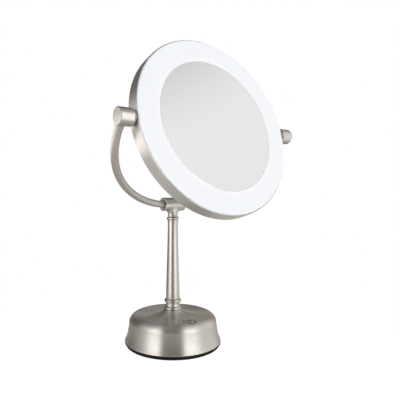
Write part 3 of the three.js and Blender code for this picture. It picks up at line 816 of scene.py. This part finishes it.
def knob(side):
    """The barrel at the top of an arm, with its crowned end plate and the stepped ring next to the rim."""
    word = SIDES[side]
    place = YOKE @ shifted(0, 0, PIVOT_HEIGHT) @ ALONG_X[side]
    lathe(f"knob_{word}", eased(barrel_outline()), place, "nickel_knob", "yoke", f"barrel_{word}")
    lathe(f"knob_cap_{word}", eased(plate_outline()), place, "nickel_formed", "yoke", f"barrel_cap_{word}")
    ring = [(BARREL_BORE, WASHER_IN), (WASHER_NECK_R, WASHER_IN), (WASHER_NECK_R, WASHER_STEP)]
    ring += [(9.3, WASHER_STEP, 0.3), (9.75, WASHER_STEP + 0.5, 0.3)]
    ring += [(9.6, WASHER_OUT, 0.3), (BARREL_BORE, WASHER_OUT)]
    lathe(f"knob_washer_{word}", eased(ring), place, "nickel_knob", "yoke", f"tilt_washer_{word}")


def barrel_outline():
    """The barrel, bored for the trunnion and recessed at its outer end for the nut."""
    end = BARREL_OUT + 0.05
    outside = [(BARREL_R - 1.2, BARREL_IN, 0.3), (BARREL_R - 0.5, BARREL_IN + 0.3, 0.3)]
    outside += [(BARREL_R, BARREL_IN + 1.0, 0.3), (BARREL_R, end, 0.04)]
    recess = [(RECESS_R, end), (RECESS_R, RECESS_IN), (BARREL_BORE, RECESS_IN)]
    return [(BARREL_BORE, BARREL_IN)] + outside + recess


def plate_outline():
    """The end plate: a rounded edge and a very slight crown."""
    start = BARREL_OUT + 0.12
    plate = [(0, start), (BARREL_R, start, 0.04)]
    plate += arc((BARREL_R - CAP_ROUND, start + 0.35), CAP_ROUND, 0, 84, 8)
    crown = plate[-1]
    return plate + bezier(crown, (5.5, crown[1] + 0.25), (0, crown[1] + 0.3), 8)


# ---- head ----
RIM_FRONT = 8.3
RIM_WALL = 1.1
RIM_LIP = 2.0
DIFFUSER_R = 119.3
DIFFUSER_WALL = 1.6
SKIRT_END = 4
MIRROR_R = 89.4
GLASS = 2.7
GLASS_BEVEL = 0.3
REAR_FACE = REAR_W - 0.5
REAR_SAG = 2.2


def rim():
    """A thin band, a trace wider at its back, whose front lip rounds in towards the light ring."""
    inner = HEAD_R - RIM_WALL
    outline = eased([(inner, -REAR_W, 0.2), (HEAD_R + 0.15, -REAR_W, 0.3), (HEAD_R + 0.1, 0)])
    outline += arc((inner + 0.05, RIM_FRONT - RIM_LIP), RIM_WALL - 0.4, 0, 90, 14, height=RIM_LIP)
    outline += [(inner, RIM_FRONT)]
    lathe("head_rim", outline, FACE, "nickel_rim", "head", "rim_band", facets=256)


def light_ring(side, word, face, edge):
    """An opal ring: a flat face round the glass, a rounded outer edge, and a skirt back inside the rim."""
    inner = MIRROR_R + 0.05
    skirt_in = DIFFUSER_R - DIFFUSER_WALL
    outline = [(inner, face - 2.5), (inner, face, 0.35), (inner + 1.6, face), (DIFFUSER_R - edge - 0.2, face)]
    outline += arc((DIFFUSER_R - edge, face - edge), edge, 86, 0, 12)
    outline += [(DIFFUSER_R, SKIRT_END), (skirt_in, SKIRT_END), (skirt_in, face - 3.2)]
    outline += [(skirt_in - DIFFUSER_WALL, face - 2.5)]
    points = [(radius, side * height) for radius, height in eased(outline)]
    lathe(f"light_ring_{word}", points, FACE, f"opal_{word}", "head", f"{word}_diffuser", facets=224)


def front_glass():
    """Flat, with a narrow bevel round its edge."""
    face = FACE_W - 0.3
    outline = [(0, face - GLASS), (MIRROR_R, face - GLASS), (MIRROR_R, face - 0.25, 0.1)]
    outline += [(MIRROR_R - GLASS_BEVEL, face, 0.1), (0, face)]
    lathe("glass_front", eased(outline, 3), FACE, "mirror", "head", "front_mirror", facets=224)


def rear_glass(steps=28):
    """The dished, magnifying glass of the second side."""
    shares = [i / steps for i in range(steps + 1)]
    bowl = [(MIRROR_R * share, -REAR_FACE + REAR_SAG * (1 - share**2)) for share in shares]
    inner = [(radius, height + GLASS) for radius, height in reversed(bowl)]
    lathe("glass_rear", bowl + inner, FACE, "mirror", "head", "rear_mirror", facets=224)


# ---- pieces carried over from the CAD ----
INSIDE = {
    "steel": ["base_plate", "tie_rod", "rod_washer", "rod_nut", "friction_screw", "yoke_axle"]
    + [f"base_screw_{i}" for i in (1, 2, 3, 4)]
    + [f"{name}_{word}" for name in ("wave_washer", "trunnion", "trunnion_nut") for word in SIDES.values()],
    "cast_iron": ["ballast_weight"],
    "black_plastic": ["battery_holder", "switch_body", "charge_jack"],
    "white_plastic": ["mirror_carrier", "friction_shoe", "switch_plunger"],
    "circuit_board": ["control_board", "front_led_board", "rear_led_board"],
    "battery_cell": ["battery_cell_1", "battery_cell_2"],
    "lead": ["stem_lead", "arm_lead", "head_lead"],
}


def dress_inside():
    for material, names in INSIDE.items():
        for name in names:
            mesh = frame["nodes"][name].data
            mesh.materials.clear()
            mesh.materials.append(MATERIALS[material])


# ---- floor ----
FLOOR_R = 0.36
FLOOR_GLOW = 0.85
FLOOR_FILL = 0.19


def floor():
    """A small white disc that glows enough to run into the backdrop, and keeps a faint contact shadow."""
    bm = bmesh.new()
    bmesh.ops.create_circle(bm, cap_ends=True, segments=96, radius=FLOOR_R)
    plane = finish_mesh("floor", bm)
    material, nodes, shader = principled("floor_white")
    tint = nodes.stretch(nodes.noise(nodes.place(), 6), 0, 1)
    paint = nodes.mix_colour(tint, rgb(0.80, 0.80, 0.80), rgb(0.83, 0.83, 0.83))
    nodes.link(paint, shader.inputs["Base Color"])
    shader.inputs["Roughness"].default_value = 0.25
    shader.inputs["IOR"].default_value = 1.8
    seen = nodes.add("ShaderNodeLightPath").outputs["Is Camera Ray"]
    glow = nodes.scale_range(seen, 0, 1, FLOOR_FILL, FLOOR_GLOW)
    nodes.link(glow, shader.inputs["Emission Strength"])
    shader.inputs["Emission Color"].default_value = WHITE
    plane.data.materials.append(material)


# ---- studio: a white backdrop, a dim warm room, and softboxes that the metal picks up as broad bands ----
# Each softbox: four bearings in degrees from the camera (positive is its right) where it starts, is full,
# is still full and ends, then its strength, its lowest and highest sine of elevation, and their softness.
SOFTBOXES = [
    (-80, -48, -33, -27, 1.58, -0.75, 0.62, 0.15),
    (-120, -60, -33, -27, 0.70, -0.75, 0.50, 0.15),
    (24, 30, 52, 80, 1.20, -0.75, 0.55, 0.15),
    (24, 30, 112, 160, 0.79, -0.75, 0.745, 0.20),
    (30, 60, 125, 160, 0.12, 0.82, 1.3, 0.10),
    (-181, -180.5, -172, -145, 0.25, -0.5, 0.45, 0.20),
    (135, 168, 181, 182, 0.40, -0.5, 0.28, 0.20),
]
AMBIENT = 0.125
AMBIENT_LOW = rgb(1.05, 0.87, 0.70)
AMBIENT_HIGH = rgb(1.0, 0.96, 0.90)
AMBIENT_RISE = 0.8  # the sine of elevation from which the room is neutral


def softbox_light(nodes, direction):
    """The strength of all the softboxes together in the direction given."""
    towards = (math.sin(CAMERA_AZIMUTH), -math.cos(CAMERA_AZIMUTH), 0)
    rightwards = (math.cos(CAMERA_AZIMUTH), math.sin(CAMERA_AZIMUTH), 0)
    ahead = nodes.vector("DOT_PRODUCT", direction, towards)
    turn = nodes.math("ARCTAN2", nodes.vector("DOT_PRODUCT", direction, rightwards), ahead)
    height = nodes.split(direction)[2]
    total = 0.0
    for *bearings, strength, low, high, soft in SOFTBOXES:
        left_out, left_in, right_in, right_out = (math.radians(bearing) for bearing in bearings)
        rise = nodes.scale_range(turn, left_out, left_in, 0, strength, smooth=True)
        fall = nodes.scale_range(turn, right_in, right_out, 1, 0, smooth=True)
        up = nodes.scale_range(height, low - soft, low + soft, 0, 1, smooth=True)
        down = nodes.scale_range(height, high - soft, high + soft, 1, 0, smooth=True)
        box = nodes.math("MULTIPLY", nodes.math("MULTIPLY", rise, fall), nodes.math("MULTIPLY", up, down))
        total = nodes.math("ADD", total, box)
    return total


def background(nodes, colour, strength):
    node = nodes.add("ShaderNodeBackground")
    nodes.feed(node.inputs["Color"], colour)
    nodes.feed(node.inputs["Strength"], strength)
    return node.outputs[0]


def studio():
    """The camera sees a plain white backdrop; the object is lit by the room and the softboxes."""
    world = bpy.data.worlds.new("studio")
    bpy.context.scene.world = world
    world.use_nodes = True
    nodes = Nodes(world.node_tree)
    direction = nodes.add("ShaderNodeTexCoord").outputs["Generated"]
    above = nodes.scale_range(nodes.split(direction)[2], 0.0, AMBIENT_RISE, 0, 1, smooth=True)
    both = nodes.add("ShaderNodeAddShader")
    nodes.link(background(nodes, nodes.mix_colour(above, AMBIENT_LOW, AMBIENT_HIGH), AMBIENT), both.inputs[0])
    nodes.link(background(nodes, WHITE, softbox_light(nodes, direction)), both.inputs[1])
    chooser = nodes.add("ShaderNodeMixShader")
    nodes.link(nodes.add("ShaderNodeLightPath").outputs["Is Camera Ray"], chooser.inputs[0])
    nodes.link(both.outputs[0], chooser.inputs[1])
    nodes.link(background(nodes, WHITE, 1.0), chooser.inputs[2])
    output = nodes.add("ShaderNodeOutputWorld")
    nodes.link(chooser.outputs[0], output.inputs["Surface"])


# ---- lamps ----
CARD_SPREAD = math.radians(100)


def area_lamp(name, place, aim, power, **settings):
    """An area lamp of that power at a place, turned to its aim."""
    data = bpy.data.lights.new(name, "AREA")
    for key, value in settings.items():
        setattr(data, key, value)
    data.energy = power
    lamp = bpy.data.objects.new(name, data)
    bpy.context.scene.collection.objects.link(lamp)
    lamp.location = place
    lamp.rotation_euler = (Vector(place) - Vector(aim)).to_track_quat("Z", "Y").to_euler()
    return lamp


def card(name, place, aim, width, height, radiance):
    """A small white card that lights the metal from close by. The camera doesn't see it."""
    shape = dict(shape="RECTANGLE", size=width, size_y=height, spread=CARD_SPREAD)
    lamp = area_lamp(name, place, aim, radiance * math.pi * width * height, **shape)
    lamp.visible_camera = False


def overhead_lamp(distance=1.6, elevation=math.radians(80), width=1.8, power=1.5):
    """A wide soft lamp high over the object, a little towards the camera."""
    level = math.cos(elevation)
    back = Vector((math.sin(CAMERA_AZIMUTH) * level, -math.cos(CAMERA_AZIMUTH) * level, math.sin(elevation)))
    aim = Vector((0, 0, 0.2))
    area_lamp("overhead", back * distance + aim, aim, power, shape="DISK", size=width)


# ---- the scene ----
make_camera()
floor()
studio()
overhead_lamp()
card("side_card", (-0.27, 0.11, 0.270), (-0.13, -0.10, 0.270), 0.18, 0.15, 0.62)
card("high_card", (-0.27, 0.11, 0.40), (-0.13, -0.10, 0.36), 0.20, 0.10, 0.16)

rubber_foot()
base_shell()
bezel()
button()
charge_port()
stem()
collar()
for side in SIDES:
    arm(side)
    knob(side)
rim()
light_ring(1, "front", FACE_W, 1.6)
light_ring(-1, "rear", REAR_FACE, 3.2)
front_glass()
rear_glass()
dress_inside()

bpy.context.scene.view_settings.view_transform = "Standard"
